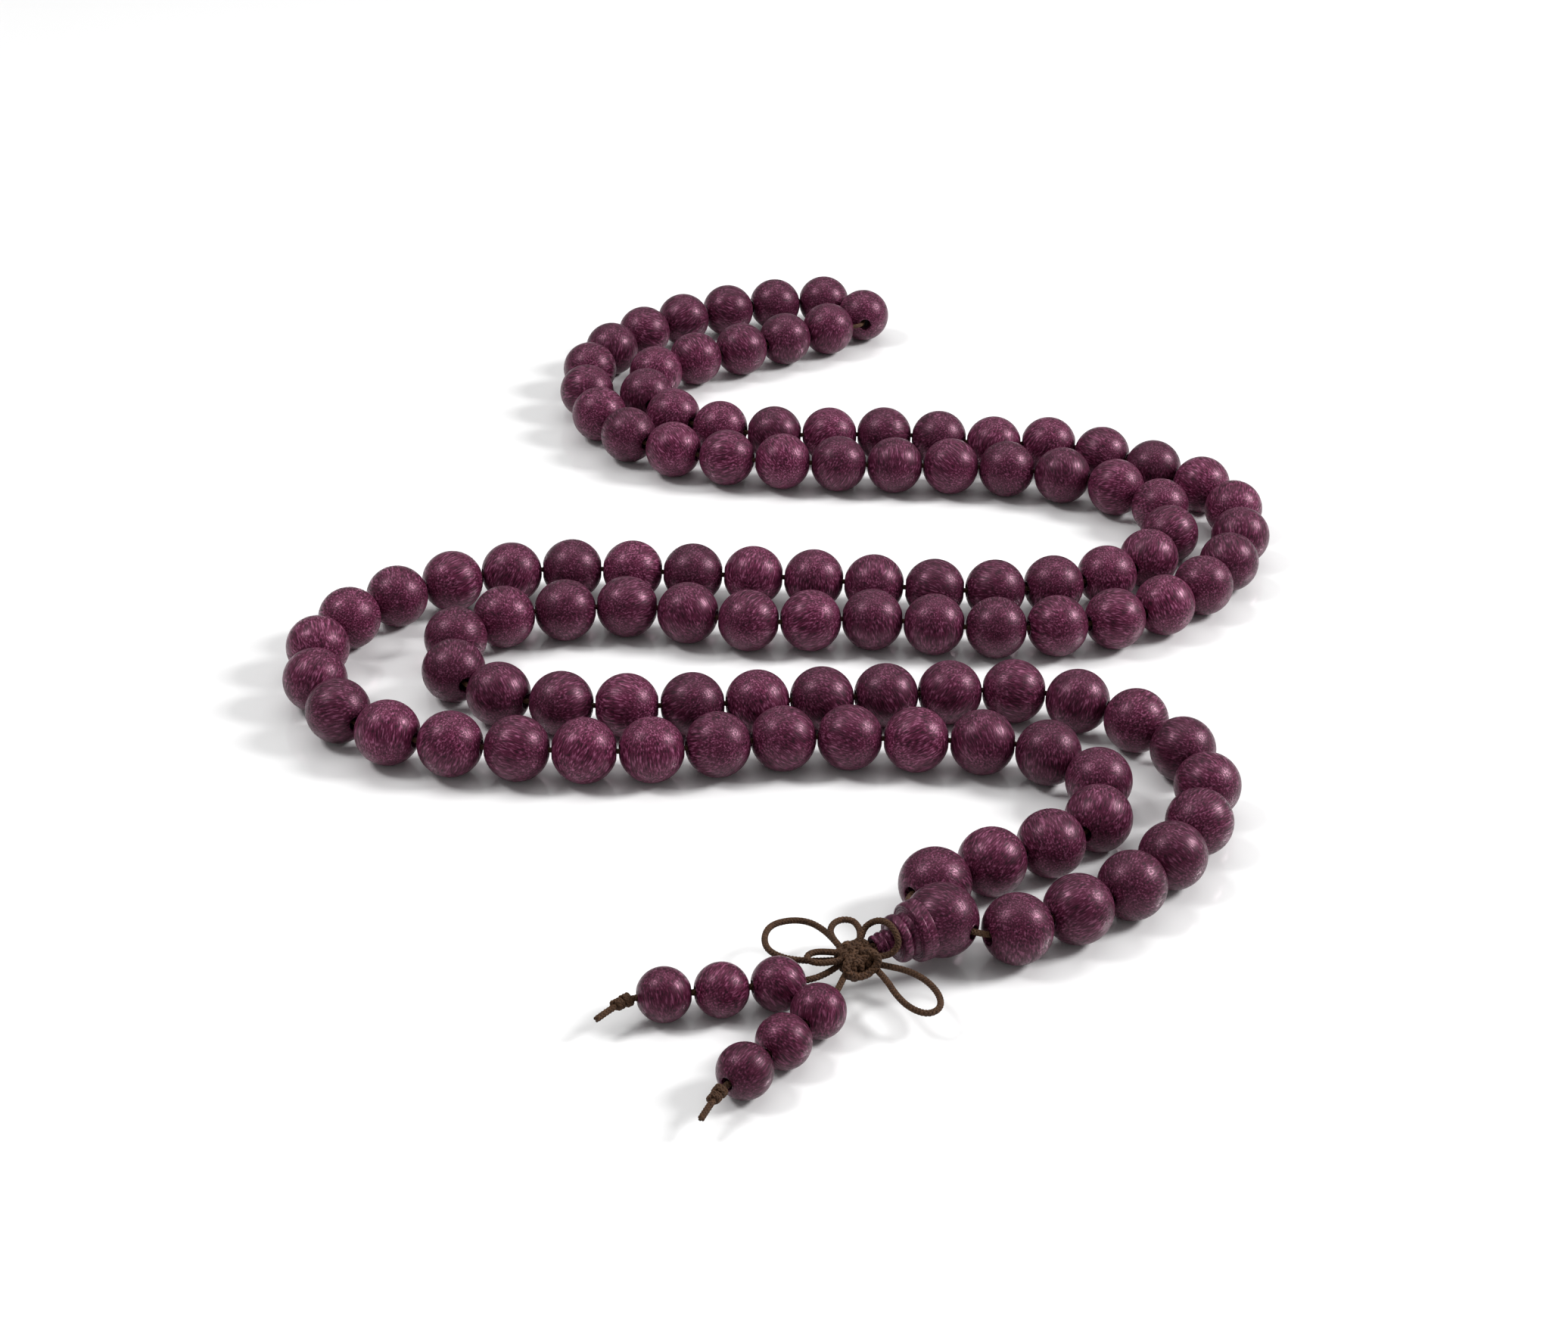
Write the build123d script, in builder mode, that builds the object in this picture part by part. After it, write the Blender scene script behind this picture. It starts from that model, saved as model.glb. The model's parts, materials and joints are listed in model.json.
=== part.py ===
from build123d import *
import math
import os

# A strand of drilled wooden beads closed by a three-way guru bead, with a turned tower,
# a knot of braided cord and two short tails. It lies on a table, with the table at Z = 0.
# All lengths are in millimetres.

# ---- driving dimensions
BEAD_D = 8.0  # counting beads
BEAD_LENGTH = 7.7  # across the small flats round a drilled end
BORE_D = 1.75
SPACER_D = 8.3  # the single larger bead beside the guru bead
SPACER_LENGTH = 8.0
GURU_D = 8.3
GURU_BORE_D = 1.7
GURU_THIRD_BORE_D = 2.1  # the hole towards the tower, where two cords turn side by side
TOWER_BORE_D = 1.8
TAIL_BEAD_D = 6.0
TAIL_BEAD_LENGTH = 5.7
TAIL_BORE_D = 1.4
MOUTH_CHAMFER = 0.12  # softens the rim of every drilled hole
CORD_D = 0.7
PITCH = 8.04  # centre to centre of neighbouring beads, 0.04 clear of touching
COUNT = 108  # counting beads
SINGLE_AT_EACH_END = 16  # beads with a node of their own, counted from each side of the guru
GROUP_SIZE = 19  # beads that share one node, in the far part of the strand

# ---- how the cord follows the beads
BEAD_REACH = 4.25  # a bead holds the cord on its own axis about this far from its centre
BEND_REACH = 1.2  # the cord's bend in a gap starts this far from its corner, inside the bores
SHARP_TURN = 60  # degrees: past this the cord bends where the two bores' lines meet
HAIRPIN_BEAD = 54  # the bead, counted from the first one, that stands at the strand's hairpin
HAIRPIN_SWING = 33  # degrees that its neighbours' bores turn outwards for the cord to pass it
RUN_SHARE = 0.45  # the most of a free run that one bend takes

# ---- places of the guru set
GURU = Vector(16.3, -79.65, 5.25)
PORT_REACH = 4.3  # from the guru bead's centre to the cord's bend outside a port
FIRST_BEAD_REACH = 4.1
SPACER = Vector(15.9, -71.3, SPACER_D / 2)
RIGHT_JOIN = 1.8  # from the guru bead's centre to where the strand meets the neck cord
LEFT_JOIN = 2.6
LEFT_BEND = (1.25, 1.15)  # along the port and along the tower: the left cord's fold
CORD_PAIR_SPACING = 0.74  # centre to centre of the two cords inside the tower
NECK_END = 9.1  # from the guru bead's centre, just past the tower
TAIL_LEAD = 1.75  # each tail goes on straight this far before it bends
TOWER_GAP = 0.05  # between the guru bead and the tower's hollow seat

# ---- the strand's line, from the first bead to the last one before the spacer bead
STRAND_ROUTE = [
    (24.7, -79.1),
    (31.4, -75.2),
    (37.4, -70.7),
    (46.9, -57.2),
    (48.8, -50.2),
    (47.4, -42.7),
    (42.9, -36.2),
    (36.4, -31.7),
    (28.4, -29.2),
    (20.4, -29.7),
    (4.4, -32.2),
    (-11.6, -34.7),
    (-27.6, -35.7),
    (-36.1, -34.2),
    (-42.6, -29.2),
    (-43.9, -21.7),
    (-38.6, -15.2),
    (-30.6, -12.7),
    (-22.6, -11.2),
    (-6.6, -13.7),
    (9.9, -12.4),
    (18.4, -13.2),
    (34.4, -12.2),
    (41.9, -9.7),
    (48.9, -5.2),
    (54.9, 1.3),
    (60.8, 16.8),
    (59.8, 24.8),
    (54.9, 31.3),
    (48.4, 35.3),
    (34.4, 40.8),
    (26.4, 40.3),
    (18.4, 41.8),
    (2.4, 41.3),
    (-6.1, 41.3),
    (-13.6, 42.8),
    (-20.6, 47.3),
    (-24.1, 55.3),
    (-21.1, 63.3),
    (-14.6, 67.8),
    (-0.6, 76.8),
    (5.4, 80.8),
    (8.4, 83.8),
    (8.9, 87.8),
    (5.4, 89.8),
    (-5.1, 88.3),
    (-18.6, 81.8),
    (-29.6, 69.8),
    (-32.6, 62.8),
    (-32.8, 54.3),
    (-26.1, 39.8),
    (-19.6, 35.3),
    (-3.6, 32.3),
    (12.9, 32.3),
    (29.4, 32.3),
    (44.4, 27.8),
    (49.9, 22.8),
    (50.9, 15.3),
    (47.9, 7.8),
    (34.9, -1.2),
    (18.4, -3.7),
    (1.9, -2.2),
    (-14.6, -1.7),
    (-30.6, -1.7),
    (-46.1, -6.2),
    (-58.1, -17.2),
    (-60.7, -25.2),
    (-59.4, -32.7),
    (-55.1, -39.7),
    (-47.6, -44.2),
    (-31.6, -46.2),
    (-15.6, -45.2),
    (-0.1, -41.7),
    (15.9, -41.2),
    (31.4, -43.7),
    (36.4, -50.2),
    (35.4, -56.7),
    (28.9, -62.7),
    (22.4, -66.5),
    (18.4, -69.2),
]

# ---- the two tails: after the straight lead, out of the knot and gap by gap past three beads
TAIL_ROUTES = {
    "left": [
        (5.2, -86.4, 3.7),
        (3.7, -87.6, 3.3),
        (1.8, -88.4, 3.0),
        (-4.2, -89.8, 3.0),
        (-10.2, -91.1, 3.0),
        (-16.3, -92.1, 3.0),
        (-18.4, -93.8, 2.9),
        (-20.1, -95.7, 2.6),
    ],
    "front": [
        (5.9, -87.7, 3.6),
        (5.3, -89.3, 3.2),
        (4.7, -90.8, 3.0),
        (1.45, -96.25, 3.0),
        (-2.4, -101.35, 3.0),
        (-6.3, -106.2, 3.0),
        (-7.5, -108.6, 2.9),
        (-8.5, -111, 2.6),
    ],
}
FIRST_TAIL_GAP = 2  # the route's point before the first bead
BEADS_PER_TAIL = 3

# ---- the knot's loops, each from the woven body out and back
LOOP_ROUTES = {
    "left": [
        (6, -84.1, 3.5),
        (5, -82.2, 3.5),
        (3.7, -80, 3.5),
        (2, -78.4, 3.5),
        (-0.1, -78.1, 3.45),
        (-2.3, -79.1, 3.4),
        (-3, -81.4, 3.4),
        (-2.5, -83.8, 3.4),
        (-0.7, -85.1, 3.4),
        (1.6, -85.4, 3.4),
        (3.6, -85.3, 3.4),
        (5.6, -85.1, 3.5),
    ],
    "middle": [
        (5.7, -85.7, 4.8),
        (3.8, -85.2, 4.6),
        (2.3, -85.3, 4.5),
        (1.6, -86.2, 4.5),
        (2.2, -87.1, 4.5),
        (3.8, -87.2, 4.5),
        (5.6, -86.6, 4.6),
    ],
    "top": [
        (5.6, -84.7, 4.5),
        (4.6, -83.1, 4.5),
        (4.1, -81.1, 4.5),
        (4.9, -79.3, 4.5),
        (6.6, -79.1, 4.5),
        (7.4, -80.6, 4.5),
        (7.5, -82.2, 4.5),
        (7.3, -83.7, 4.5),
    ],
    "front": [
        (8.6, -85.4, 3.4),
        (10.3, -85.8, 3.4),
        (12.6, -86.5, 3.4),
        (14.6, -88, 3.3),
        (15.9, -90.3, 3.2),
        (16, -92.6, 3.2),
        (14.5, -93.8, 3.2),
        (12.6, -92.7, 3.2),
        (11.2, -90.6, 3.3),
        (10.3, -88.3, 3.4),
        (9.1, -86.4, 3.5),
    ],
}

# ---- the loop over the tower's tip: distance along the tower, towards the front, upwards
COLLAR_ROUTE = [
    (10.2, -0.6, 0.75),
    (9.0, -1.8, 1.4),
    (8.0, -2.0, 1.8),
    (7.2, -1.2, 2.5),
    (6.85, 0.2, 2.85),
    (6.85, 1.6, 2.5),
    (6.95, 2.3, 1.5),
    (7.7, 2.3, 0.6),
    (8.7, 1.9, 0.3),
    (9.8, 1.3, 0.2),
]

# ---- the tower's turned rings: start and end from the guru bead's centre, radius
TOWER_RINGS = [
    (2.3, 4.25, 3.45),
    (5.15, 6.35, 2.7),
    (6.75, 7.3, 1.55),
    (7.5, 8.05, 1.5),
    (8.25, 8.8, 1.4),
]
TOWER_CORE_R = [2.45, 1.25, 1.25, 1.25]  # the groove between one ring and the next
RING_ROUNDING = 0.3  # share of a ring's thickness

KNOT = Vector(7.1, -85.4, 3.8)
KNOT_SIZE = (4.1, 4.0, 3.1)  # along the tower's line, across it, thickness
KNOT_ROUNDING = 1.0
END_KNOT_LOBES = [(1.0, 0.78), (2.1, 0.68)]  # distance from the last gap, radius


def plan_direction(degrees, rise=0):
    """A unit vector at an angle in plan, rising by some degrees."""
    flat = math.cos(math.radians(rise))
    across = math.radians(degrees)
    return Vector(flat * math.cos(across), flat * math.sin(across), math.sin(math.radians(rise)))


RIGHT_PORT = plan_direction(-32)  # the way the guru bead's bore leaves towards the first bead
TOWER_AXIS = plan_direction(-148.3, -5.2)
FIRST_BEAD_AXIS = plan_direction(30)
SPACER_MOUTH = plan_direction(227, 6)  # the way the spacer bead's bore leaves towards the guru


def unit(vector):
    return vector / vector.length


def save(builder, label):
    """Names a finished piece and writes it."""
    builder.part.label = label
    export_step(builder.part, f"parts/{label}.step")


def drilled_bead(diameter, length, bore):
    """A round bead with a hole along Z and small flats round the hole's two mouths."""
    with BuildPart() as bead:
        Sphere(diameter / 2)
        Cylinder(diameter, length, mode=Mode.INTERSECT)
        Cylinder(bore / 2, diameter, mode=Mode.SUBTRACT)
        rims = bead.edges().filter_by(GeomType.CIRCLE).group_by(SortBy.RADIUS)[0]
        chamfer(rims, MOUTH_CHAMFER)
    return bead.part


def thread_beads(label, bead, planes):
    """One node with a copy of a bead on each plane, its bore along the plane's normal."""
    with BuildPart(*planes) as threaded:
        add(bead)
    save(threaded, label)


def walk_beads(route, count, pitch):
    """Bead centres along a line, each one pitch from the last in a straight line."""
    step = 1.6 * pitch / route.length
    centres = [route @ 0]
    place = 0.0
    while len(centres) < count:
        low = place
        high = min(place + step, 1.0)
        for _ in range(40):
            middle = (low + high) / 2
            if ((route @ middle) - centres[-1]).length < pitch:
                low = middle
            else:
                high = middle
        place = high
        centres.append(route @ place)
    return centres


def gap_corner(first, first_axis, second, second_axis):
    """The corner of the cord's bend between two beads."""
    chord = second - first
    leaving = math.radians(chord.get_angle(first_axis))
    entering = math.radians(chord.get_angle(second_axis))
    if first_axis.get_angle(second_axis) > SHARP_TURN:
        reach = chord.length * math.sin(entering) / math.sin(leaving + entering)
        return first + first_axis * reach
    return (first + first_axis * BEAD_REACH + second - second_axis * BEAD_REACH) / 2


def corner_radii(points, longest_tangent):
    """An arc for each corner, taking a share of the shorter run up to a longest tangent."""
    radii = []
    for before, corner, after in zip(points, points[1:], points[2:]):
        run_in = corner - before
        run_out = after - corner
        tangent = min(RUN_SHARE * min(run_in.length, run_out.length), longest_tangent)
        radii.append(tangent / math.tan(math.radians(run_in.get_angle(run_out)) / 2))
    return radii


def cord(label, routes, longest_tangent=math.inf):
    """One node of round cord, a tube along each route's straight runs and tangent arcs."""
    length = 0
    radii = []
    with BuildPart() as tubes:
        for points in routes:
            bends = corner_radii(points, longest_tangent)
            with BuildLine() as path:
                FilletPolyline(*points, radius=bends)
            line = path.wire()
            with BuildSketch(Plane(origin=line @ 0, z_dir=line % 0)):
                Circle(CORD_D / 2)
            sweep(path=line)
            length += line.length
            radii += bends
    expected = math.pi * (CORD_D / 2) ** 2 * length
    smallest = ", ".join(f"{radius:.1f}" for radius in sorted(radii)[:8])
    print(f"{label}: length {length:.1f}, volume {tubes.part.volume:.2f} of {expected:.2f},")
    print(f"  the smallest of its {len(radii)} radii: {smallest}")
    save(tubes, label)


os.makedirs("parts", exist_ok=True)

# ---- the counting beads and the spacer bead along the strand
with BuildLine() as strand_line:
    Spline(*[(x, y, BEAD_D / 2) for x, y in STRAND_ROUTE])
strand_beads = walk_beads(strand_line.wire(), COUNT, PITCH) + [SPACER]
print("last counting bead:", strand_beads[-2])
print("  from it to the spacer bead:", round((strand_beads[-2] - SPACER).length, 2))

# ---- where the cord bends: outside the guru bead's ports and in every gap between beads
bead_axes = [FIRST_BEAD_AXIS]
for before, after in zip(strand_beads, strand_beads[2:]):
    bead_axes.append(unit(after - before))
bead_axes.append(SPACER_MOUTH)
before_tip, tip, after_tip = strand_beads[HAIRPIN_BEAD - 2 : HAIRPIN_BEAD + 1]
bead_axes[HAIRPIN_BEAD - 2] = unit(tip - before_tip).rotate(Axis.Z, -HAIRPIN_SWING)
bead_axes[HAIRPIN_BEAD] = unit(after_tip - tip).rotate(Axis.Z, HAIRPIN_SWING)
held = [strand_beads[0] - FIRST_BEAD_AXIS * FIRST_BEAD_REACH]
for index in range(COUNT):
    near = (strand_beads[index], bead_axes[index])
    far = (strand_beads[index + 1], bead_axes[index + 1])
    held.append(gap_corner(*near, *far))
held.append(SPACER + SPACER_MOUTH * BEAD_REACH)
bead_planes = []
for index, centre in enumerate(strand_beads):
    bead_planes.append(Plane(origin=centre, z_dir=unit(held[index + 1] - held[index])))

# ---- the beads: 16 single ones each side of the guru, then groups, and the spacer bead
counting_bead = drilled_bead(BEAD_D, BEAD_LENGTH, BORE_D)
for index in range(SINGLE_AT_EACH_END):
    thread_beads(f"bead_right_{index + 1:02d}", counting_bead, [bead_planes[index]])
    thread_beads(f"bead_left_{index + 1:02d}", counting_bead, [bead_planes[COUNT - 1 - index]])
grouped = range(SINGLE_AT_EACH_END, COUNT - SINGLE_AT_EACH_END, GROUP_SIZE)
for number, first in enumerate(grouped, 1):
    thread_beads(f"bead_group_{number}", counting_bead, bead_planes[first : first + GROUP_SIZE])
spacer_bead = drilled_bead(SPACER_D, SPACER_LENGTH, BORE_D)
thread_beads("spacer_bead", spacer_bead, [bead_planes[COUNT]])

# ---- the guru bead: one hole right through and a third that meets it from the tower
across_tower = unit(RIGHT_PORT - TOWER_AXIS * RIGHT_PORT.dot(TOWER_AXIS))
above_tower = TOWER_AXIS.cross(across_tower)
tower_plane = Plane(origin=GURU, z_dir=TOWER_AXIS)
with BuildPart() as guru_bead:
    with Locations(GURU):
        Sphere(GURU_D / 2)
    with Locations(Plane(origin=GURU, z_dir=RIGHT_PORT)):
        Cylinder(GURU_BORE_D / 2, GURU_D + 1, mode=Mode.SUBTRACT)
    with Locations(tower_plane):
        third_hole = (Align.CENTER, Align.CENTER, Align.MIN)
        Cylinder(GURU_THIRD_BORE_D / 2, GURU_D, align=third_hole, mode=Mode.SUBTRACT)
save(guru_bead, "guru_bead")

# ---- the tower: turned rings round a bore, with a hollow seat that fits the guru bead
tower_end = TOWER_RINGS[-1][1]
with BuildPart() as guru_tower:
    with BuildSketch(Plane(origin=GURU, x_dir=TOWER_AXIS, z_dir=above_tower)):
        for start, end, radius in TOWER_RINGS:
            with Locations(((start + end) / 2, 0)):
                RectangleRounded(end - start, 2 * radius, RING_ROUNDING * (end - start))
        for ring, following, core_r in zip(TOWER_RINGS, TOWER_RINGS[1:], TOWER_CORE_R):
            core_start = (ring[0] + ring[1]) / 2
            core_end = (following[0] + following[1]) / 2
            with Locations(((core_start + core_end) / 2, 0)):
                Rectangle(core_end - core_start, 2 * core_r)
        upper_half = (Align.MIN, Align.MIN)
        Rectangle(tower_end, GURU_D, align=upper_half, mode=Mode.INTERSECT)
    revolve(axis=Axis(GURU, TOWER_AXIS))
    with Locations(GURU):
        Sphere(GURU_D / 2 + TOWER_GAP, mode=Mode.SUBTRACT)
    with Locations(tower_plane):
        Cylinder(TOWER_BORE_D / 2, 2 * tower_end, mode=Mode.SUBTRACT)
save(guru_tower, "guru_tower")

# ---- the strand cord, and the two cords that turn inside the guru bead and leave by the tower
right_join = GURU + RIGHT_PORT * RIGHT_JOIN
left_join = GURU - RIGHT_PORT * LEFT_JOIN
strand_points = [right_join, GURU + RIGHT_PORT * PORT_REACH]
strand_points += held
strand_points += [GURU - RIGHT_PORT * PORT_REACH, left_join]
cord("strand_cord", [strand_points], BEND_REACH)
beside = across_tower * (CORD_PAIR_SPACING / 2)
right_corner = GURU + RIGHT_PORT * (beside.length / RIGHT_PORT.dot(across_tower))
left_corners = [
    GURU - RIGHT_PORT * LEFT_BEND[0],
    GURU + TOWER_AXIS * LEFT_BEND[1] - beside,
]
tail_starts = {
    "left": GURU + TOWER_AXIS * NECK_END - beside,
    "front": GURU + TOWER_AXIS * NECK_END + beside,
}
right_neck = [right_join, right_corner, tail_starts["front"]]
left_neck = [left_join] + left_corners + [tail_starts["left"]]
cord("neck_cord", [right_neck, left_neck])

# ---- the knot: a woven body with loops standing out of it
with BuildPart() as knot_body:
    with Locations(Plane(origin=KNOT, x_dir=TOWER_AXIS, z_dir=above_tower)):
        Box(*KNOT_SIZE)
    fillet(knot_body.edges(), KNOT_ROUNDING)
save(knot_body, "knot_body")
for name, route in LOOP_ROUTES.items():
    cord(f"knot_loop_{name}", [[Vector(*point) for point in route]])
collar = []
for along, across, up in COLLAR_ROUTE:
    collar.append(GURU + TOWER_AXIS * along + across_tower * across + above_tower * up)
cord("knot_loop_collar", [collar])

# ---- the tails: a cord, three small beads and an end knot each
tail_bead = drilled_bead(TAIL_BEAD_D, TAIL_BEAD_LENGTH, TAIL_BORE_D)
for name, route in TAIL_ROUTES.items():
    start = tail_starts[name]
    points = [start, start + TOWER_AXIS * TAIL_LEAD] + [Vector(*point) for point in route]
    cord(f"tail_cord_{name}", [points])
    gap_points = [Vector(*point) for point in route[FIRST_TAIL_GAP:]]
    for number in range(BEADS_PER_TAIL):
        before = gap_points[number]
        after = gap_points[number + 1]
        plane = Plane(origin=(before + after) / 2, z_dir=unit(after - before))
        thread_beads(f"tail_bead_{name}_{number + 1}", tail_bead, [plane])
    last_gap = gap_points[BEADS_PER_TAIL]
    onward = unit(gap_points[BEADS_PER_TAIL + 1] - last_gap)
    with BuildPart(Plane(origin=last_gap, z_dir=onward)) as end_knot:
        for distance, radius in END_KNOT_LOBES:
            with Locations((0, 0, distance)):
                Sphere(radius)
    save(end_knot, f"end_knot_{name}")
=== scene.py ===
import json
import math

import bmesh
import bpy
import numpy as np
from mathutils import Matrix, Vector


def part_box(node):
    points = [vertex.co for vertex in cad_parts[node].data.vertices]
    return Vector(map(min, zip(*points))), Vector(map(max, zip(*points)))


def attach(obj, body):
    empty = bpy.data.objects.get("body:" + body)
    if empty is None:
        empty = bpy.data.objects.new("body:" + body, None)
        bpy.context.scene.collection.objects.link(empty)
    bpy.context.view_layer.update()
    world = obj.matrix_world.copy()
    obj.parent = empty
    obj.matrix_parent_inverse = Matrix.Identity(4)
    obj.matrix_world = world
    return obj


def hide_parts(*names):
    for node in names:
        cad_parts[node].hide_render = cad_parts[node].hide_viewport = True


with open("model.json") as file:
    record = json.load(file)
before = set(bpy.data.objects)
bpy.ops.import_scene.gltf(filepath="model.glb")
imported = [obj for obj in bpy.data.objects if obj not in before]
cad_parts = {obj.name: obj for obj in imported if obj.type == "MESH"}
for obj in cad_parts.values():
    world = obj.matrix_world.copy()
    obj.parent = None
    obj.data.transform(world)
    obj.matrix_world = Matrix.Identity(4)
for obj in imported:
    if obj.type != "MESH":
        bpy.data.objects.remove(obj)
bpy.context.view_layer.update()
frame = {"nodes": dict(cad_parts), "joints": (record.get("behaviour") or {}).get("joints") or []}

# Mala prayer beads lying on a table, all lengths in metres.
RANDOM = np.random.default_rng(11)

# ---- sizes shared with the CAD
BEAD = {"diameter": 0.008, "length": 0.0077, "bore": 0.00175}
SPACER = {"diameter": 0.0083, "length": 0.0080, "bore": 0.00175}
TAIL_BEAD = {"diameter": 0.006, "length": 0.0057, "bore": 0.0014}
GURU = {"diameter": 0.0083, "length": 0.0081, "bore": 0.0017}
THIRD_BORE_D = 0.0021
RIM = 0.00012  # the worn rounding of a drilled hole's edge
CORD_D = 0.0007
SINGLE_AT_EACH_END = 16
GROUPS = 4
RIGHT_PORT_DEG = -32
TOWER_SEAT_R = 0.0042
TOWER_SEAT_EDGE = 0.945  # the seat's half angle at its rim, in radians
TOWER_BORE_R = 0.0009
TOWER_BORE_RINGS = (0.0087, 0.0078, 0.0066, 0.0054)
CORD_PAIR_SPACING = 0.00074
TAIL_LEAD = 0.00175

# ---- the cord's way through a bead, from its centre
BEAD_STRAIGHT = 0.0026
BEAD_MOUTH = 0.00425

# ---- the cords' ways through the guru bead, from its centre
PORT_MOUTH = 0.0043
RIGHT_END, LEFT_END = 0.0018, 0.0026  # where the strand ends and the neck cord goes on
LEFT_CORNER = (0.00125, 0.00115)  # back from the port, then along the tower
NECK_END = 0.0091

# ---- the tower's outline: distance from the guru bead's centre and radius, in millimetres
TOWER_OUTLINE = [
    (2.44, 3.42), (2.6, 3.46), (2.95, 3.46), (3.3, 3.44), (3.4, 3.38), (3.48, 3.44),
    (3.9, 3.4), (4.12, 3.3), (4.22, 3.14), (4.2, 3.04), (4.12, 2.98), (4.2, 2.9),
    (4.23, 2.8), (4.14, 2.72), (4.24, 2.64), (4.24, 2.56), (4.32, 2.46), (4.55, 2.38),
    (4.8, 2.36), (5.0, 2.42), (5.12, 2.54), (5.22, 2.66), (5.45, 2.72), (5.85, 2.71),
    (6.12, 2.62), (6.26, 2.48), (6.31, 2.32), (6.23, 2.24), (6.32, 2.14), (6.33, 1.98),
    (6.26, 1.9), (6.36, 1.78), (6.42, 1.5), (6.52, 1.28), (6.64, 1.26), (6.76, 1.42),
    (6.9, 1.56), (7.1, 1.57), (7.26, 1.46), (7.36, 1.28), (7.44, 1.28), (7.54, 1.42),
    (7.68, 1.52), (7.86, 1.52), (8.02, 1.4), (8.1, 1.26), (8.2, 1.26), (8.3, 1.36),
    (8.45, 1.43), (8.62, 1.4), (8.76, 1.26), (8.8, 1.06),
]

# ---- the braid, as shares of the cord's diameter
BRAID_STEP = 0.1
BRAID_PERIOD = 2.2
BRAID_MIDDLE, BRAID_SWELL, BRAID_STRAND = 0.37, 0.04, 0.16
STRAND_THICK, STRAND_WIDE = 0.85, 1.2  # each strand is flattened against the core
STRANDS, STRAND_SIDES, CORE_SIDES = 8, 6, 10
PLAIN_STEP, PLAIN_SIDES, PLAIN_SHARE = 0.00045, 12, 0.9  # the strand cord between the beads

# ---- the cords' routes, the same points as in the CAD
TAIL_ROUTES = {
    "left": [
        (0.0052, -0.0864, 0.0037), (0.0037, -0.0876, 0.0033), (0.0018, -0.0884, 0.0030),
        (-0.0042, -0.0898, 0.0030), (-0.0102, -0.0911, 0.0030), (-0.0163, -0.0921, 0.0030),
        (-0.0184, -0.0938, 0.0029), (-0.0201, -0.0957, 0.0026),
    ],
    "front": [
        (0.0059, -0.0877, 0.0036), (0.0053, -0.0893, 0.0032), (0.0047, -0.0908, 0.0030),
        (0.00145, -0.09625, 0.0030), (-0.0024, -0.10135, 0.0030), (-0.0063, -0.1062, 0.0030),
        (-0.0075, -0.1086, 0.0029), (-0.0085, -0.1110, 0.0026),
    ],
}
LAST_TAIL_GAP = 5  # the route's point just past the last bead
LOOP_ROUTES = {
    "left": [
        (0.0060, -0.0841, 0.0035), (0.0050, -0.0822, 0.0035), (0.0037, -0.0800, 0.0035),
        (0.0020, -0.0784, 0.0035), (-0.0001, -0.0781, 0.00345), (-0.0023, -0.0791, 0.0034),
        (-0.0030, -0.0814, 0.0034), (-0.0025, -0.0838, 0.0034), (-0.0007, -0.0851, 0.0034),
        (0.0016, -0.0854, 0.0034), (0.0036, -0.0853, 0.0034), (0.0056, -0.0851, 0.0035),
    ],
    "middle": [
        (0.0057, -0.0857, 0.0048), (0.0038, -0.0852, 0.0046), (0.0023, -0.0853, 0.0045),
        (0.0016, -0.0862, 0.0045), (0.0022, -0.0871, 0.0045), (0.0038, -0.0872, 0.0045),
        (0.0056, -0.0866, 0.0046),
    ],
    "top": [
        (0.0056, -0.0847, 0.0045), (0.0046, -0.0831, 0.0045), (0.0041, -0.0811, 0.0045),
        (0.0049, -0.0793, 0.0045), (0.0066, -0.0791, 0.0045), (0.0074, -0.0806, 0.0045),
        (0.0075, -0.0822, 0.0045), (0.0073, -0.0837, 0.0045),
    ],
    "front": [
        (0.0086, -0.0854, 0.0034), (0.0103, -0.0858, 0.0034), (0.0126, -0.0865, 0.0034),
        (0.0146, -0.0880, 0.0033), (0.0159, -0.0903, 0.0032), (0.0160, -0.0926, 0.0032),
        (0.0145, -0.0938, 0.0032), (0.0126, -0.0927, 0.0032), (0.0112, -0.0906, 0.0033),
        (0.0103, -0.0883, 0.0034), (0.0091, -0.0864, 0.0035),
    ],
}
COLLAR_ROUTE = [  # distance along the tower, towards the front, upwards
    (0.0102, -0.0006, 0.00075), (0.0090, -0.0018, 0.0014), (0.0080, -0.0020, 0.0018),
    (0.0072, -0.0012, 0.0025), (0.00685, 0.0002, 0.00285), (0.00685, 0.0016, 0.0025),
    (0.00695, 0.0023, 0.0015), (0.0077, 0.0023, 0.0006), (0.0087, 0.0019, 0.0003),
    (0.0098, 0.0013, 0.0002),
]

# ---- the knot's woven body, from its centre: along the tower, towards the front, upwards
KNOT_HALF = (0.00205, 0.0020, 0.00155)
KNOT_PASSES = 4
KNOT_PASS_SPACING = 0.0009
KNOT_CORD_D = 0.00082
KNOT_WEAVE = 0.0002  # how far a pass rises and dips
KNOT_SQUARENESS = 0.6
KNOT_WRAP = [
    (-0.0002, 0.0007, 0.0014), (-0.0007, 0.0011, 0.0017), (-0.0012, 0.0016, 0.00155),
    (-0.00145, 0.0021, 0.0010), (-0.0011, 0.0023, 0.0003), (0.0000, 0.0023, -0.0003),
    (0.0012, 0.0022, -0.0003), (0.0021, 0.0019, 0.0003), (0.0023, 0.0015, 0.0009),
    (0.0018, 0.0011, 0.0014), (0.0010, 0.0008, 0.0015),
]
WRAP_D = 0.0009

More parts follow.
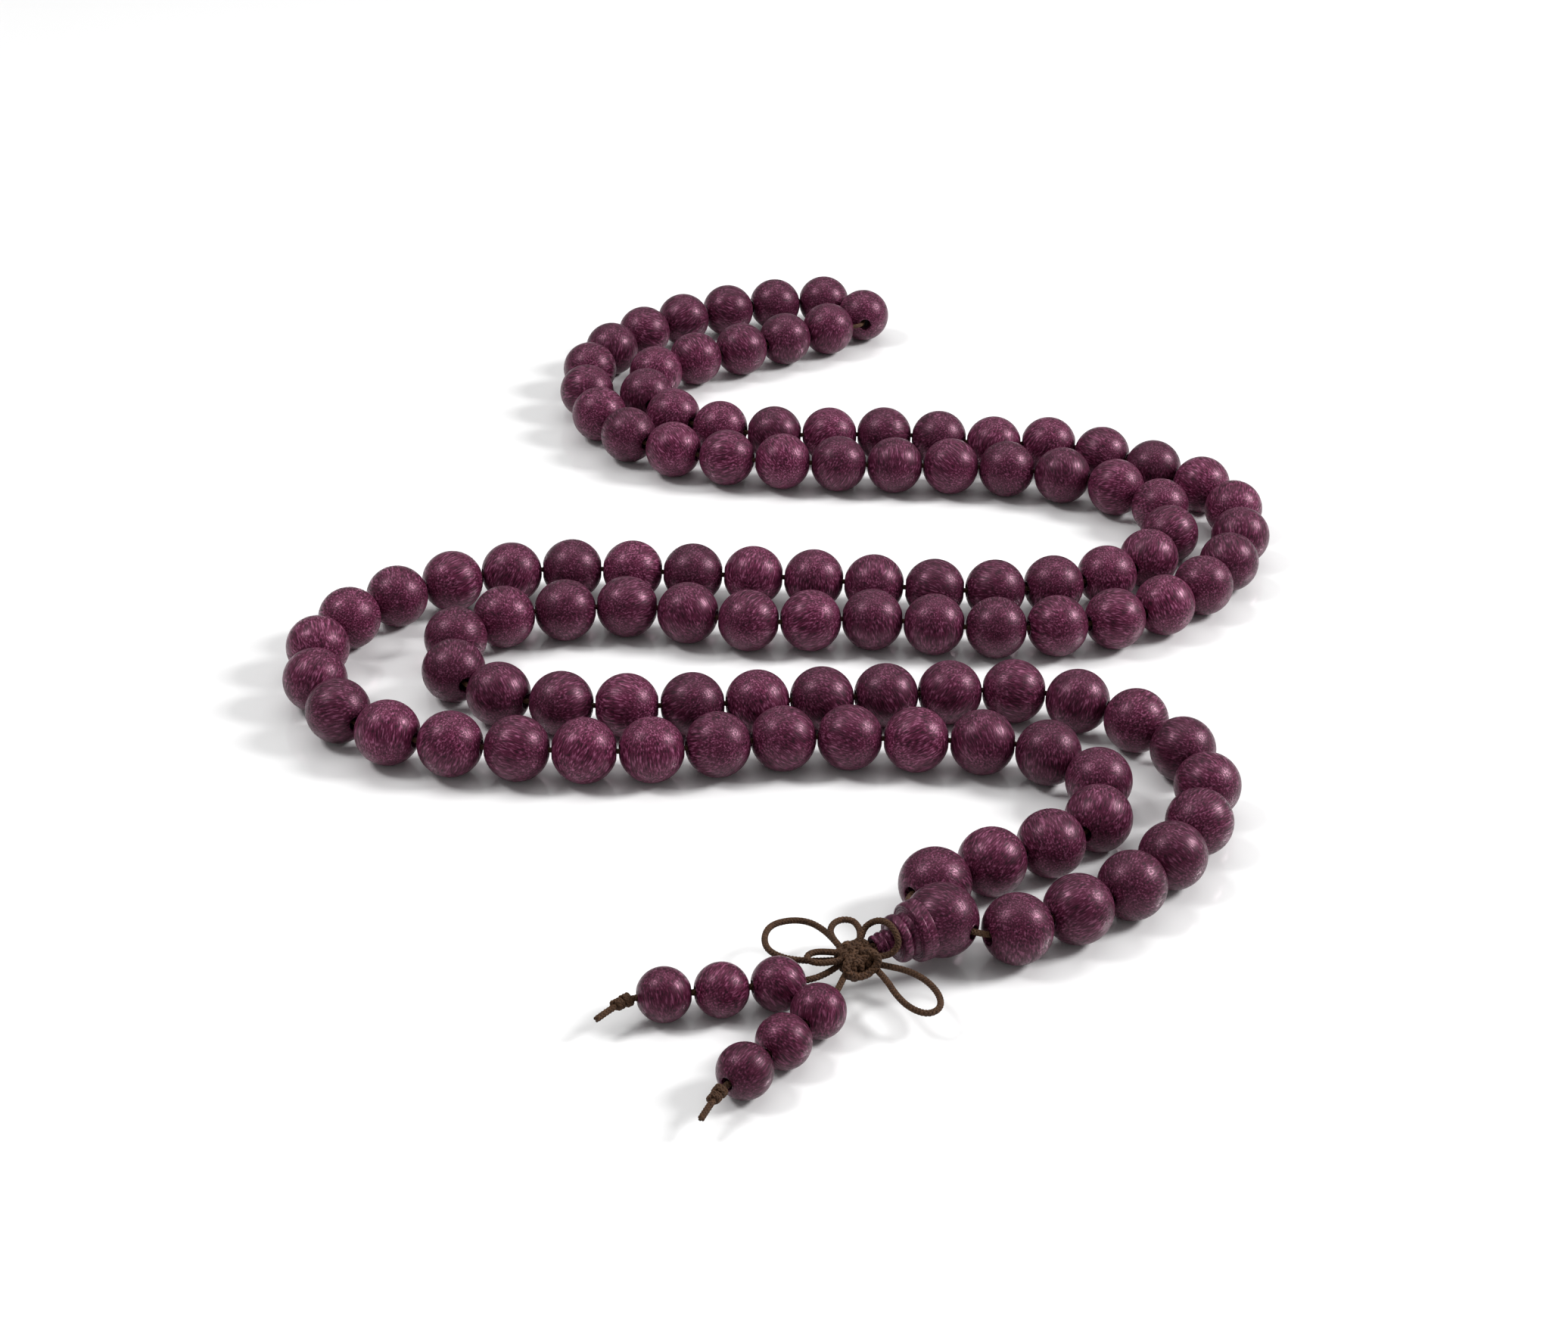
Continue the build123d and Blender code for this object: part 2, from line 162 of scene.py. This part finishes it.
# ---- the tails' end knots: each lobe's distance past the last bead and its radius
END_KNOT_LOBES = [(0.0010, 0.00078), (0.0021, 0.00068)]
WIND_TURNS = 2.2
WIND_D = 0.00056
WIND_INSET = 0.00027
WIND_ADVANCE, WIND_WAVER = 0.00036, 0.00018

# ---- the camera, at the photograph's angle
CAMERA_PLACE = (-0.001739, -0.325740, 0.183739)
CAMERA_LENS = 63.94  # millimetres, on a sensor 36 wide
VIEW_DOWN, VIEW_ROLL = math.radians(30.98), 0.03392


# ---- materials
def nodes_of(name):
    """A new material with its node tree and its shader."""
    material = bpy.data.materials.new(name)
    material.use_nodes = True
    tree = material.node_tree
    return material, tree, tree.nodes["Principled BSDF"]


def noise(tree, vector, stretch, scale, detail):
    """A noise whose cells are stretched by three factors of the given coordinates."""
    mapping = tree.nodes.new("ShaderNodeMapping")
    mapping.inputs["Scale"].default_value = stretch
    tree.links.new(vector, mapping.inputs["Vector"])
    texture = tree.nodes.new("ShaderNodeTexNoise")
    texture.inputs["Scale"].default_value = scale
    texture.inputs["Detail"].default_value = detail
    tree.links.new(mapping.outputs["Vector"], texture.inputs["Vector"])
    return texture.outputs["Fac"]


def ramp(tree, value, stops):
    """Colours or greys for a value, from a list of position and colour."""
    node = tree.nodes.new("ShaderNodeValToRGB")
    while len(node.color_ramp.elements) < len(stops):
        node.color_ramp.elements.new(0.5)
    for element, (position, colour) in zip(node.color_ramp.elements, stops):
        element.position = position
        element.color = (*colour, 1) if len(colour) == 3 else (colour[0],) * 3 + (1,)
    tree.links.new(value, node.inputs["Fac"])
    return node.outputs["Color"]


def multiply(tree, share, first, second):
    """One colour times another, by the given share."""
    node = tree.nodes.new("ShaderNodeMix")
    node.data_type = "RGBA"
    node.blend_type = "MULTIPLY"
    node.inputs["Factor"].default_value = share
    tree.links.new(first, node.inputs[6])
    tree.links.new(second, node.inputs[7])
    return node.outputs[2]


def bumped(tree, height, strength, distance, under=None):
    """A bump from a height, over another bump where one is given."""
    bump = tree.nodes.new("ShaderNodeBump")
    bump.inputs["Strength"].default_value = strength
    bump.inputs["Distance"].default_value = distance
    tree.links.new(height, bump.inputs["Height"])
    if under:
        tree.links.new(under, bump.inputs["Normal"])
    return bump.outputs["Normal"]


def attribute(tree, name, output):
    """A value stored on the mesh's points."""
    node = tree.nodes.new("ShaderNodeAttribute")
    node.attribute_name = name
    return node.outputs[output]


def wood(name, dark, middle, light):
    """Oiled reddish-purple wood with short pores along the grain and faint turning marks."""
    material, tree, shader = nodes_of(name)
    grain = attribute(tree, "grain", "Vector")
    tone = attribute(tree, "tone", "Fac")
    pores = noise(tree, grain, (1.0, 5.0, 5.0), 1.0, 3.0)
    bands = noise(tree, grain, (0.12, 0.9, 0.9), 1.0, 2.0)
    colour = ramp(tree, pores, [(0.37, dark), (0.47, middle), (0.54, middle), (0.67, light)])
    shade = ramp(tree, bands, [(0.3, (0.5,)), (0.7, (1.0,))])
    colour = multiply(tree, 0.8, colour, shade)
    each_bead = ramp(tree, tone, [(0.0, (0.55,)), (1.0, (1.0,))])
    colour = multiply(tree, 1.0, colour, each_bead)
    tree.links.new(colour, shader.inputs["Base Color"])
    rough = ramp(tree, pores, [(0.38, (0.46,)), (0.62, (0.26,))])
    tree.links.new(rough, shader.inputs["Roughness"])
    sunk_pores = bumped(tree, pores, 0.55, 0.00005)
    marks = noise(tree, attribute(tree, "turned", "Vector"), (0.6, 0.6, 9.0), 1.0, 2.0)
    normal = bumped(tree, marks, 0.3, 0.00004, sunk_pores)
    tree.links.new(normal, shader.inputs["Normal"])
    shader.inputs["Specular IOR Level"].default_value = 0.5
    shader.inputs["Specular Tint"].default_value = (0.85, 0.42, 0.58, 1)
    return material


def cord_material(name, dark, light):
    """Waxed brown cord: fibres along each strand, lighter where they stand proud."""
    material, tree, shader = nodes_of(name)
    grain = attribute(tree, "grain", "Vector")
    fibres = noise(tree, grain, (2.5, 14.0, 14.0), 1.0, 3.0)
    patches = noise(tree, grain, (0.25, 0.3, 0.3), 1.0, 2.0)
    colour = ramp(tree, fibres, [(0.3, dark), (0.7, light)])
    wear = ramp(tree, patches, [(0.3, (0.6,)), (0.7, (1.2,))])
    colour = multiply(tree, 0.7, colour, wear)
    tree.links.new(colour, shader.inputs["Base Color"])
    rough = ramp(tree, fibres, [(0.3, (0.8,)), (0.75, (0.58,))])
    tree.links.new(rough, shader.inputs["Roughness"])
    tree.links.new(bumped(tree, fibres, 0.6, 0.00003), shader.inputs["Normal"])
    shader.inputs["Specular IOR Level"].default_value = 0.25
    return material


# each wood's pores, body and lightest fibres, as linear colours
BEAD_WOOD = wood(
    "bead_wood", (0.016, 0.001, 0.005), (0.098, 0.012, 0.040), (0.36, 0.115, 0.215)
)
TAIL_WOOD = wood(
    "tail_bead_wood", (0.014, 0.001, 0.005), (0.088, 0.010, 0.034), (0.31, 0.09, 0.175)
)
GURU_WOOD = wood(
    "guru_wood", (0.015, 0.001, 0.005), (0.094, 0.011, 0.038), (0.34, 0.105, 0.20)
)
CORD = cord_material("braided_cord", (0.016, 0.006, 0.0025), (0.105, 0.048, 0.021))


# ---- mesh making
def piece(name, vertices, faces, layers, material, body, replaced):
    """A smooth mesh that rides on a CAD body and stands for CAD nodes."""
    mesh = bpy.data.meshes.new(name)
    mesh.from_pydata(vertices.tolist(), [], faces)
    mesh.polygons.foreach_set("use_smooth", [True] * len(mesh.polygons))
    for layer, values in layers.items():
        if values.ndim == 2:
            stored = mesh.attributes.new(layer, "FLOAT_VECTOR", "POINT")
            stored.data.foreach_set("vector", values.ravel())
        else:
            stored = mesh.attributes.new(layer, "FLOAT", "POINT")
            stored.data.foreach_set("value", values)
    mesh.materials.append(material)
    made = bpy.data.objects.new(name, mesh)
    bpy.context.scene.collection.objects.link(made)
    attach(made, body)
    if replaced:
        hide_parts(*replaced)
    return made


def turned(outline, segments=72):
    """A surface turned round Z from a closed outline of radius and height."""
    radius, height = np.array(outline).T
    angles = np.linspace(0, 2 * math.pi, segments, endpoint=False)
    x = np.outer(radius, np.cos(angles))
    y = np.outer(radius, np.sin(angles))
    z = np.repeat(height[:, None], segments, axis=1)
    vertices = np.stack([x, y, z], axis=2).reshape(-1, 3)
    ring = np.arange(len(radius))[:, None] * segments
    following = np.roll(ring, -1, axis=0)
    here = np.arange(segments)[None, :]
    after = np.roll(here, -1, axis=1)
    faces = np.stack([ring + here, following + here, following + after, ring + after], axis=2)
    return vertices, faces.reshape(-1, 4)


def bead_outline(diameter, length, bore):
    """A round bead's outline, with small flats, softened rims and the wall of its hole."""
    radius, half, hole = diameter / 2, length / 2, bore / 2
    start = math.acos(half / radius)
    outer = []
    for angle in np.linspace(start, math.pi - start, 41):
        outer.append((radius * math.sin(angle), radius * math.cos(angle)))
    rim = []
    for angle in np.linspace(0, math.pi / 2, 5):
        rim.append((hole + RIM - RIM * math.sin(angle), half - RIM + RIM * math.cos(angle)))
    lower = [(r, -z) for r, z in rim]
    wall = [(hole, z) for z in np.linspace(-half / 2, half / 2, 5)]
    return outer + lower + wall + rim[::-1]


def facing(axis):
    """A rotation that turns Z to the axis."""
    return np.array(Vector(axis).to_track_quat("Z", "Y").to_matrix())


def random_turn():
    """An even random rotation."""
    turn, _ = np.linalg.qr(RANDOM.normal(size=(3, 3)))
    return turn


def wooden(name, parts, material, body, replaced):
    """One wooden piece from several turned ones, each with its own grain and tone."""
    vertices, faces, grain, tone, marks = [], [], [], [], []
    count = 0
    for shape, sides, centre, axis in parts:
        placed = shape @ facing(axis).T + np.array(centre)
        vertices.append(placed)
        faces.append(sides + count)
        grain.append(shape * 1000 @ random_turn() + RANDOM.uniform(0, 400, 3))
        marks.append(shape * 1000 + RANDOM.uniform(0, 400, 3))
        tone.append(np.full(len(shape), RANDOM.uniform(0, 1)))
        count += len(shape)
    layers = {
        "grain": np.concatenate(grain),
        "turned": np.concatenate(marks),
        "tone": np.concatenate(tone),
    }
    vertices, faces = np.concatenate(vertices), np.concatenate(faces).tolist()
    return piece(name, vertices, faces, layers, material, body, replaced)


def turning_bead(node, shape, material):
    """A bead on its own joint."""
    parts = [(*shape, *seat(node))]
    return wooden(f"wood_{node}", parts, material, node, [node])


# ---- cords
def nurbs_line(points, name):
    """The points down a smooth line that has the given ones as its control points."""
    curve = bpy.data.curves.new(name, "CURVE")
    curve.dimensions = "3D"
    curve.resolution_u = 16
    spline = curve.splines.new("NURBS")
    spline.points.add(len(points) - 1)
    for point, place in zip(spline.points, points):
        point.co = (*place, 1)
    spline.order_u = 3
    spline.use_endpoint_u = True
    bare = bpy.data.objects.new(name, curve)
    mesh = bpy.data.meshes.new_from_object(bare)
    line = np.array([vertex.co for vertex in mesh.vertices])
    bpy.data.meshes.remove(mesh)
    bpy.data.curves.remove(curve)
    return line


def evenly(line, step):
    """The line again with points about a step apart."""
    along = np.concatenate([[0], np.cumsum(np.linalg.norm(np.diff(line, axis=0), axis=1))])
    places = np.linspace(0, along[-1], max(4, int(along[-1] / step) + 1))
    return np.stack([np.interp(places, along, line[:, k]) for k in range(3)], axis=1), places


def unit_rows(vectors):
    """Each row at length one."""
    return vectors / np.linalg.norm(vectors, axis=1)[:, None]


def frames(line):
    """Two crosswise directions at each point that don't twist round the line."""
    forward = unit_rows(np.gradient(line, axis=0))
    side = np.cross(forward[0], (0.13, 0.21, 0.97))
    sides = []
    for direction in forward:
        side = side - direction * (side @ direction)
        side = side / np.linalg.norm(side)
        sides.append(side)
    sides = np.array(sides)
    return sides, np.cross(forward, sides)


def tube(centres, outward, across, half_out, half_across, sides, start):
    """Rings round the centres, closed at both ends; faces count from start."""
    angles = np.linspace(0, 2 * math.pi, sides, endpoint=False)
    out = outward[:, None, :] * (half_out[:, None] * np.cos(angles))[:, :, None]
    over = across[:, None, :] * (half_across[:, None] * np.sin(angles))[:, :, None]
    rings = centres[:, None, :] + out + over
    count = len(centres)
    ring = np.arange(count - 1)[:, None] * sides
    here = np.arange(sides)[None, :]
    after = np.roll(here, -1, axis=1)
    further = ring + sides
    faces = np.stack([ring + here, ring + after, further + after, further + here], axis=2)
    faces = (faces.reshape(-1, 4) + start).tolist()
    faces.append([start + k for k in range(sides)][::-1])
    faces.append([start + (count - 1) * sides + k for k in range(sides)])
    return rings.reshape(-1, 3), faces


def fibre_places(along, round_it, offset=0):
    """Texture places in millimetres: along a tube, round it, and a number of its own."""
    lengthwise = np.repeat(along, len(round_it)) * 1000
    crosswise = np.tile(round_it, len(along))
    return np.stack([lengthwise, crosswise, np.full(len(lengthwise), offset)], axis=1)


def corded(name, vertices, faces, grain, replaced=()):
    """A piece of cord, which lies still with the mala."""
    layers = {"grain": grain}
    return piece(name, vertices, faces, layers, CORD, "mala", replaced)


def braid(name, lines, diameter, replaced=()):
    """A round braid of strands over a core along each line."""
    vertices, faces, grain = [], [], []
    count = 0
    period = BRAID_PERIOD * diameter
    middle, swell = BRAID_MIDDLE * diameter, BRAID_SWELL * diameter
    for line in lines:
        centres, along = evenly(line, BRAID_STEP * diameter)
        side, up = frames(centres)
        width = np.full(len(centres), BRAID_STRAND * diameter)
        thick, wide = width * STRAND_THICK, width * STRAND_WIDE
        core_r = np.full(len(centres), middle)
        rings, sides = tube(centres, side, up, core_r, core_r, CORE_SIDES, count)
        vertices.append(rings)
        faces += sides
        grain.append(fibre_places(along, np.arange(CORE_SIDES) * 0.1))
        count += len(rings)
        for number in range(STRANDS):
            way = 1 if number % 2 else -1
            swing = 2 * math.pi * along / period
            angle = way * swing + (number // 2) * math.pi / 2
            reach = middle + way * swell * np.cos(4 * swing)
            outward = side * np.cos(angle)[:, None] + up * np.sin(angle)[:, None]
            path = centres + outward * reach[:, None]
            heading = unit_rows(np.gradient(path, axis=0))
            across = unit_rows(np.cross(heading, outward))
            normal = np.cross(across, heading)
            rings, sides = tube(path, normal, across, thick, wide, STRAND_SIDES, count)
            vertices.append(rings)
            faces += sides
            grain.append(fibre_places(along, np.linspace(0, 0.45, STRAND_SIDES), number * 1.7))
            count += len(rings)
    grain = np.concatenate(grain) + RANDOM.uniform(0, 300, 3)
    return corded(name, np.concatenate(vertices), faces, grain, replaced)


# ---- the camera
level_up = Vector((0, math.sin(VIEW_DOWN), math.cos(VIEW_DOWN)))
right = Vector((1, 0, 0)) * math.cos(VIEW_ROLL) + level_up * math.sin(VIEW_ROLL)
up = level_up * math.cos(VIEW_ROLL) - Vector((1, 0, 0)) * math.sin(VIEW_ROLL)
camera_data = bpy.data.cameras.new("camera")
camera_data.lens = CAMERA_LENS
camera_data.sensor_width = 36
camera_data.clip_start = 0.01
camera = bpy.data.objects.new("camera", camera_data)
bpy.context.scene.collection.objects.link(camera)
placed = Matrix((right, up, right.cross(up))).transposed().to_4x4()
placed.translation = CAMERA_PLACE
camera.matrix_world = placed
bpy.context.scene.camera = camera

# ---- where the turning pieces stand, from their joints
JOINTS = {joint["child"]: joint for joint in frame["joints"]}


def seat(node):
    """A turning piece's centre and the direction of its hole."""
    joint = JOINTS[node]
    return Vector(joint["pos_m"]), Vector(joint["axis"]).normalized()


def grouped_beads(node):
    """The centres and hole directions of a group's beads, read from their meshes."""
    mesh = frame["nodes"][node].data
    points = np.array([vertex.co for vertex in mesh.vertices])
    edges = np.array([tuple(edge.vertices) for edge in mesh.edges])
    label = np.arange(len(points))
    while True:
        low = np.minimum(label[edges[:, 0]], label[edges[:, 1]])
        merged = label.copy()
        np.minimum.at(merged, edges[:, 0], low)
        np.minimum.at(merged, edges[:, 1], low)
        merged = merged[merged]
        if (merged == label).all():
            break
        label = merged
    found = []
    for name in np.unique(label):
        own = points[label == name]
        if np.ptp(own, axis=0).min() < 0.9 * BEAD["diameter"]:
            continue  # a flat or a hole's wall, not the round face
        centre = (own.min(axis=0) + own.max(axis=0)) / 2
        # the points nearer than the round face are the flats' and the hole's
        near = np.linalg.norm(points - centre, axis=1) < 0.486 * BEAD["diameter"]
        rims = points[near] - centre
        axis = np.linalg.eigh(rims.T @ rims)[1][:, -1]
        found.append((Vector(centre), Vector(axis)))
    return found


right_beads = [seat(f"bead_right_{k:02d}") for k in range(1, SINGLE_AT_EACH_END + 1)]
left_beads = [seat(f"bead_left_{k:02d}") for k in range(SINGLE_AT_EACH_END, 0, -1)]
strand = list(right_beads)
groups = {}
for number in range(1, GROUPS + 1):
    waiting = grouped_beads(f"bead_group_{number}")
    groups[number] = list(waiting)
    while waiting:
        last = strand[-1][0]
        waiting.sort(key=lambda bead: (bead[0] - last).length)
        strand.append(waiting.pop(0))
strand += left_beads + [seat("spacer_bead")]
for index in range(1, len(strand)):
    centre, axis = strand[index]
    if axis.dot(centre - strand[index - 1][0]) < 0:
        strand[index] = (centre, -axis)

# ---- the guru bead's directions
guru, tower_axis = seat("guru_tower")
port_angle = math.radians(RIGHT_PORT_DEG)
right_port = Vector((math.cos(port_angle), math.sin(port_angle), 0))
to_front = (right_port - tower_axis * right_port.dot(tower_axis)).normalized()
above = tower_axis.cross(to_front)

# ---- the two tails, which are free cords
tails = {}
for name, route in TAIL_ROUTES.items():
    beside = to_front * (CORD_PAIR_SPACING / 2) * (1 if name == "front" else -1)
    start = guru + tower_axis * NECK_END + beside
    points = [start, start + tower_axis * TAIL_LEAD] + [Vector(point) for point in route]
    line = nurbs_line(points, f"tail_line_{name}")
    tails[name] = (start, line, braid(f"tail_{name}", [line], CORD_D, [f"tail_cord_{name}"]))

# ---- the counting beads, the spacer bead and the tail beads
bead_shape = turned(bead_outline(**BEAD))
spacer_shape = turned(bead_outline(**SPACER))
tail_bead_shape = turned(bead_outline(**TAIL_BEAD))
for side in ("right", "left"):
    for k in range(1, SINGLE_AT_EACH_END + 1):
        turning_bead(f"bead_{side}_{k:02d}", bead_shape, BEAD_WOOD)
for number, beads in groups.items():
    parts = [(*bead_shape, centre, axis) for centre, axis in beads]
    wooden(f"wood_group_{number}", parts, BEAD_WOOD, "mala", [f"bead_group_{number}"])
parts = [(*spacer_shape, *seat("spacer_bead"))]
wooden("wood_spacer", parts, BEAD_WOOD, "spacer_bead", ["spacer_bead"])
tail_pieces = {"left": [], "front": []}
for side in tail_pieces:
    for k in range(1, 4):
        node = f"tail_bead_{side}_{k}"
        made = turning_bead(node, tail_bead_shape, TAIL_WOOD)
        tail_pieces[side].append(made)

# ---- the guru bead, with its third hole cut towards the tower
parts = [(*turned(bead_outline(**GURU), 96), guru, right_port)]
guru_wood = wooden("wood_guru", parts, GURU_WOOD, "mala", ["guru_bead"])
cutter_mesh = bpy.data.meshes.new("third_hole")
drill = bmesh.new()
radius, depth = THIRD_BORE_D / 2, GURU["diameter"]
bmesh.ops.create_cone(
    drill, cap_ends=True, segments=48, radius1=radius, radius2=radius, depth=depth
)
aimed = tower_axis.to_track_quat("Z", "Y").to_matrix().to_4x4()
drill.transform(Matrix.Translation(guru + tower_axis * depth / 2) @ aimed)
drill.to_mesh(cutter_mesh)
drill.free()
cutter = bpy.data.objects.new("third_hole", cutter_mesh)
bpy.context.scene.collection.objects.link(cutter)
cut = guru_wood.modifiers.new("third_hole", "BOOLEAN")
cut.object = cutter
cut.operation = "DIFFERENCE"
cut.solver = "EXACT"
bpy.context.view_layer.update()
graph = bpy.context.evaluated_depsgraph_get()
drilled = bpy.data.meshes.new_from_object(
    guru_wood.evaluated_get(graph), preserve_all_data_layers=True, depsgraph=graph
)
guru_wood.modifiers.clear()
guru_wood.data = drilled
bpy.data.objects.remove(cutter)

# ---- the tower, its outline's corners cut twice to round them
tower_outline = [(radius * 0.001, distance * 0.001) for distance, radius in TOWER_OUTLINE]
for _ in range(2):
    cornered = []
    for (r0, z0), (r1, z1) in zip(tower_outline, tower_outline[1:]):
        cornered.append((0.75 * r0 + 0.25 * r1, 0.75 * z0 + 0.25 * z1))
        cornered.append((0.25 * r0 + 0.75 * r1, 0.25 * z0 + 0.75 * z1))
    tower_outline = cornered
tower_outline += [(TOWER_BORE_R, height) for height in TOWER_BORE_RINGS]
for angle in np.linspace(math.asin(TOWER_BORE_R / TOWER_SEAT_R), TOWER_SEAT_EDGE, 12):
    tower_outline.append((TOWER_SEAT_R * math.sin(angle), TOWER_SEAT_R * math.cos(angle)))
tower_shape, tower_faces = turned(tower_outline, 120)
parts = [(tower_shape, tower_faces[:, ::-1], guru, tower_axis)]
wooden("wood_tower", parts, GURU_WOOD, "guru_tower", ["guru_tower"])

# ---- the cord through the strand, and the two that turn down the tower
strand_points = [guru + right_port * RIGHT_END, guru + right_port * PORT_MOUTH]
for index, (centre, axis) in enumerate(strand):
    if index:
        before, before_axis = strand[index - 1]
        strand_points.append((before + before_axis * BEAD_MOUTH + centre - axis * BEAD_MOUTH) / 2)
    strand_points += [centre - axis * BEAD_STRAIGHT, centre + axis * BEAD_STRAIGHT]
strand_points.append(strand[-1][0] + strand[-1][1] * BEAD_MOUTH)
strand_points += [guru - right_port * PORT_MOUTH, guru - right_port * LEFT_END]
strand_line, _ = evenly(nurbs_line(strand_points, "strand_line"), PLAIN_STEP)
sides, ups = frames(strand_line)
half = np.full(len(strand_line), CORD_D / 2) * PLAIN_SHARE
rings, strand_faces = tube(strand_line, sides, ups, half, half, PLAIN_SIDES, 0)
steps = np.arange(len(strand_line)) * PLAIN_STEP
grain = fibre_places(steps, np.linspace(0, 2, PLAIN_SIDES))
corded("strand", rings, strand_faces, grain, ["strand_cord"])
ends = [nurbs_line(strand_points[:6], "right_end"), nurbs_line(strand_points[-6:], "left_end")]
braid("strand_ends", ends, CORD_D)
beside = to_front * (CORD_PAIR_SPACING / 2)
right_corner = guru + right_port * (beside.length / right_port.dot(to_front))
neck_top = guru + tower_axis * NECK_END
neck_right = [guru + right_port * RIGHT_END, right_corner, neck_top + beside]
neck_left = [
    guru - right_port * LEFT_END,
    guru - right_port * LEFT_CORNER[0],
    guru + tower_axis * LEFT_CORNER[1] - beside,
    neck_top - beside,
]
neck_lines = [nurbs_line(neck_right, "neck_right"), nurbs_line(neck_left, "neck_left")]
braid("neck", neck_lines, CORD_D, ["neck_cord"])

# ---- the knot's loops
for name, route in LOOP_ROUTES.items():
    braid(f"loop_{name}", [nurbs_line(route, f"loop_line_{name}")], CORD_D, [f"knot_loop_{name}"])
collar = []
for along, across, rise in COLLAR_ROUTE:
    collar.append(guru + tower_axis * along + to_front * across + above * rise)
braid("loop_collar", [nurbs_line(collar, "loop_line_collar")], CORD_D, ["knot_loop_collar"])

# ---- the knot's woven body: cords over and under each other round it both ways
low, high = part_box("knot_body")
knot = (low + high) / 2


def at_knot(along, across, rise):
    """A place given from the knot's centre."""
    return knot + tower_axis * along + to_front * across + above * rise


def at_knot_crossed(across, along, rise):
    """The same, for a pass that goes round the other way."""
    return at_knot(along, across, rise)


def round_pass(half_wide, offset, phase, place):
    """One closed pass round the body, rising and dipping where the others cross it."""
    line = []
    edge = abs(offset) / KNOT_HALF[1]
    wide = (half_wide - KNOT_CORD_D * 0.5) * (1 - 0.2 * edge**3)
    tall = (KNOT_HALF[2] - KNOT_CORD_D * 0.4) * (1 - 0.25 * edge**3)
    for angle in np.linspace(0, 2 * math.pi, 97):
        cosine, sine = math.cos(angle), math.sin(angle)
        across = wide * math.copysign(abs(cosine) ** KNOT_SQUARENESS, cosine)
        weave = math.cos(math.pi * (across / KNOT_PASS_SPACING - 0.5) + phase * math.pi)
        reach = tall + KNOT_WEAVE * weave * abs(sine)
        rise = reach * math.copysign(abs(sine) ** KNOT_SQUARENESS, sine)
        line.append(place(across, offset, rise))
    return np.array(line)


passes = []
for number in range(KNOT_PASSES):
    offset = (number - (KNOT_PASSES - 1) / 2) * KNOT_PASS_SPACING
    passes.append(round_pass(KNOT_HALF[0], offset, number, at_knot))
    passes.append(round_pass(KNOT_HALF[1], offset, number + 1, at_knot_crossed))
braid("knot_weave", passes, KNOT_CORD_D, ["knot_body"])
wrap = [at_knot(*point) for point in KNOT_WRAP]
braid("knot_wrap", [nurbs_line(wrap, "wrap_line")], WRAP_D)

# ---- the knot's filling, a rounded block that closes the gaps between the passes
filling = bmesh.new()
bmesh.ops.create_cube(filling, size=2)
bmesh.ops.subdivide_edges(filling, edges=filling.edges[:], cuts=9, use_grid_fill=True)
for vertex in filling.verts:
    direction = vertex.co.normalized() * 1.25
    rounded = vertex.co.lerp(direction, 0.55)
    vertex.co = at_knot(*[rounded[k] * (KNOT_HALF[k] - KNOT_CORD_D * 0.75) for k in range(3)])
filling.verts.index_update()
inside = np.array([vertex.co for vertex in filling.verts])
inside_faces = [[vertex.index for vertex in face.verts] for face in filling.faces]
filling.free()
corded("knot_filling", inside, inside_faces, inside * 1000)

# ---- the knot at each tail's end: two lobes of cord wound round and over the tail
for name, (start, line, tail) in tails.items():
    route = [Vector(point) for point in TAIL_ROUTES[name]]
    onward = (route[LAST_TAIL_GAP + 1] - route[LAST_TAIL_GAP]).normalized()
    level = onward.cross(Vector((0, 0, 1))).normalized()
    rising = level.cross(onward)
    windings = []
    for number, (distance, radius) in enumerate(END_KNOT_LOBES):
        wind = []
        reach = radius - WIND_INSET
        for turn in np.linspace(0, 2 * math.pi * WIND_TURNS, 60):
            advance = (turn / (2 * math.pi) - WIND_TURNS / 2) * WIND_ADVANCE
            shift = advance + WIND_WAVER * math.sin(turn + number)
            spot = route[LAST_TAIL_GAP] + onward * (distance + shift)
            wind.append(spot + level * reach * math.cos(turn) + rising * reach * math.sin(turn))
        windings.append(np.array(wind))
    end_knot = braid(f"end_wraps_{name}", windings, WIND_D, [f"end_knot_{name}"])

# ---- the floor and the studio light
floor_mesh = bpy.data.meshes.new("floor")
floor_mesh.from_pydata([(-3, -3, 0), (3, -3, 0), (3, 3, 0), (-3, 3, 0)], [], [(0, 1, 2, 3)])
floor_material, floor_tree, floor_shader = nodes_of("floor")
floor_shader.inputs["Base Color"].default_value = (0.88, 0.88, 0.88, 1)
floor_shader.inputs["Roughness"].default_value = 0.07
floor_shader.inputs["Specular IOR Level"].default_value = 1.0
floor_mesh.materials.append(floor_material)
floor = bpy.data.objects.new("floor", floor_mesh)
bpy.context.scene.collection.objects.link(floor)
world = bpy.data.worlds.new("studio")
world.use_nodes = True
world.node_tree.nodes["Background"].inputs["Color"].default_value = (1, 1, 1, 1)
world.node_tree.nodes["Background"].inputs["Strength"].default_value = 0.32
bpy.context.scene.world = world
bpy.context.scene.view_settings.view_transform = "Standard"


def softbox(name, direction, distance, size, power):
    """A square soft light at a distance that way from the object, facing it."""
    lamp = bpy.data.lights.new(name, "AREA")
    lamp.size = size
    lamp.energy = power
    made = bpy.data.objects.new(name, lamp)
    made.location = Vector(direction).normalized() * distance
    made.rotation_euler = Vector(direction).to_track_quat("Z", "Y").to_euler()
    bpy.context.scene.collection.objects.link(made)


softbox("key", (0.79, 0.07, 0.60), 1.0, 0.28, 9.5)
softbox("second", (-0.60, -0.02, 0.80), 1.0, 0.26, 4)
softbox("overhead", (0.0, 0.3, 0.95), 1.2, 1.2, 6)
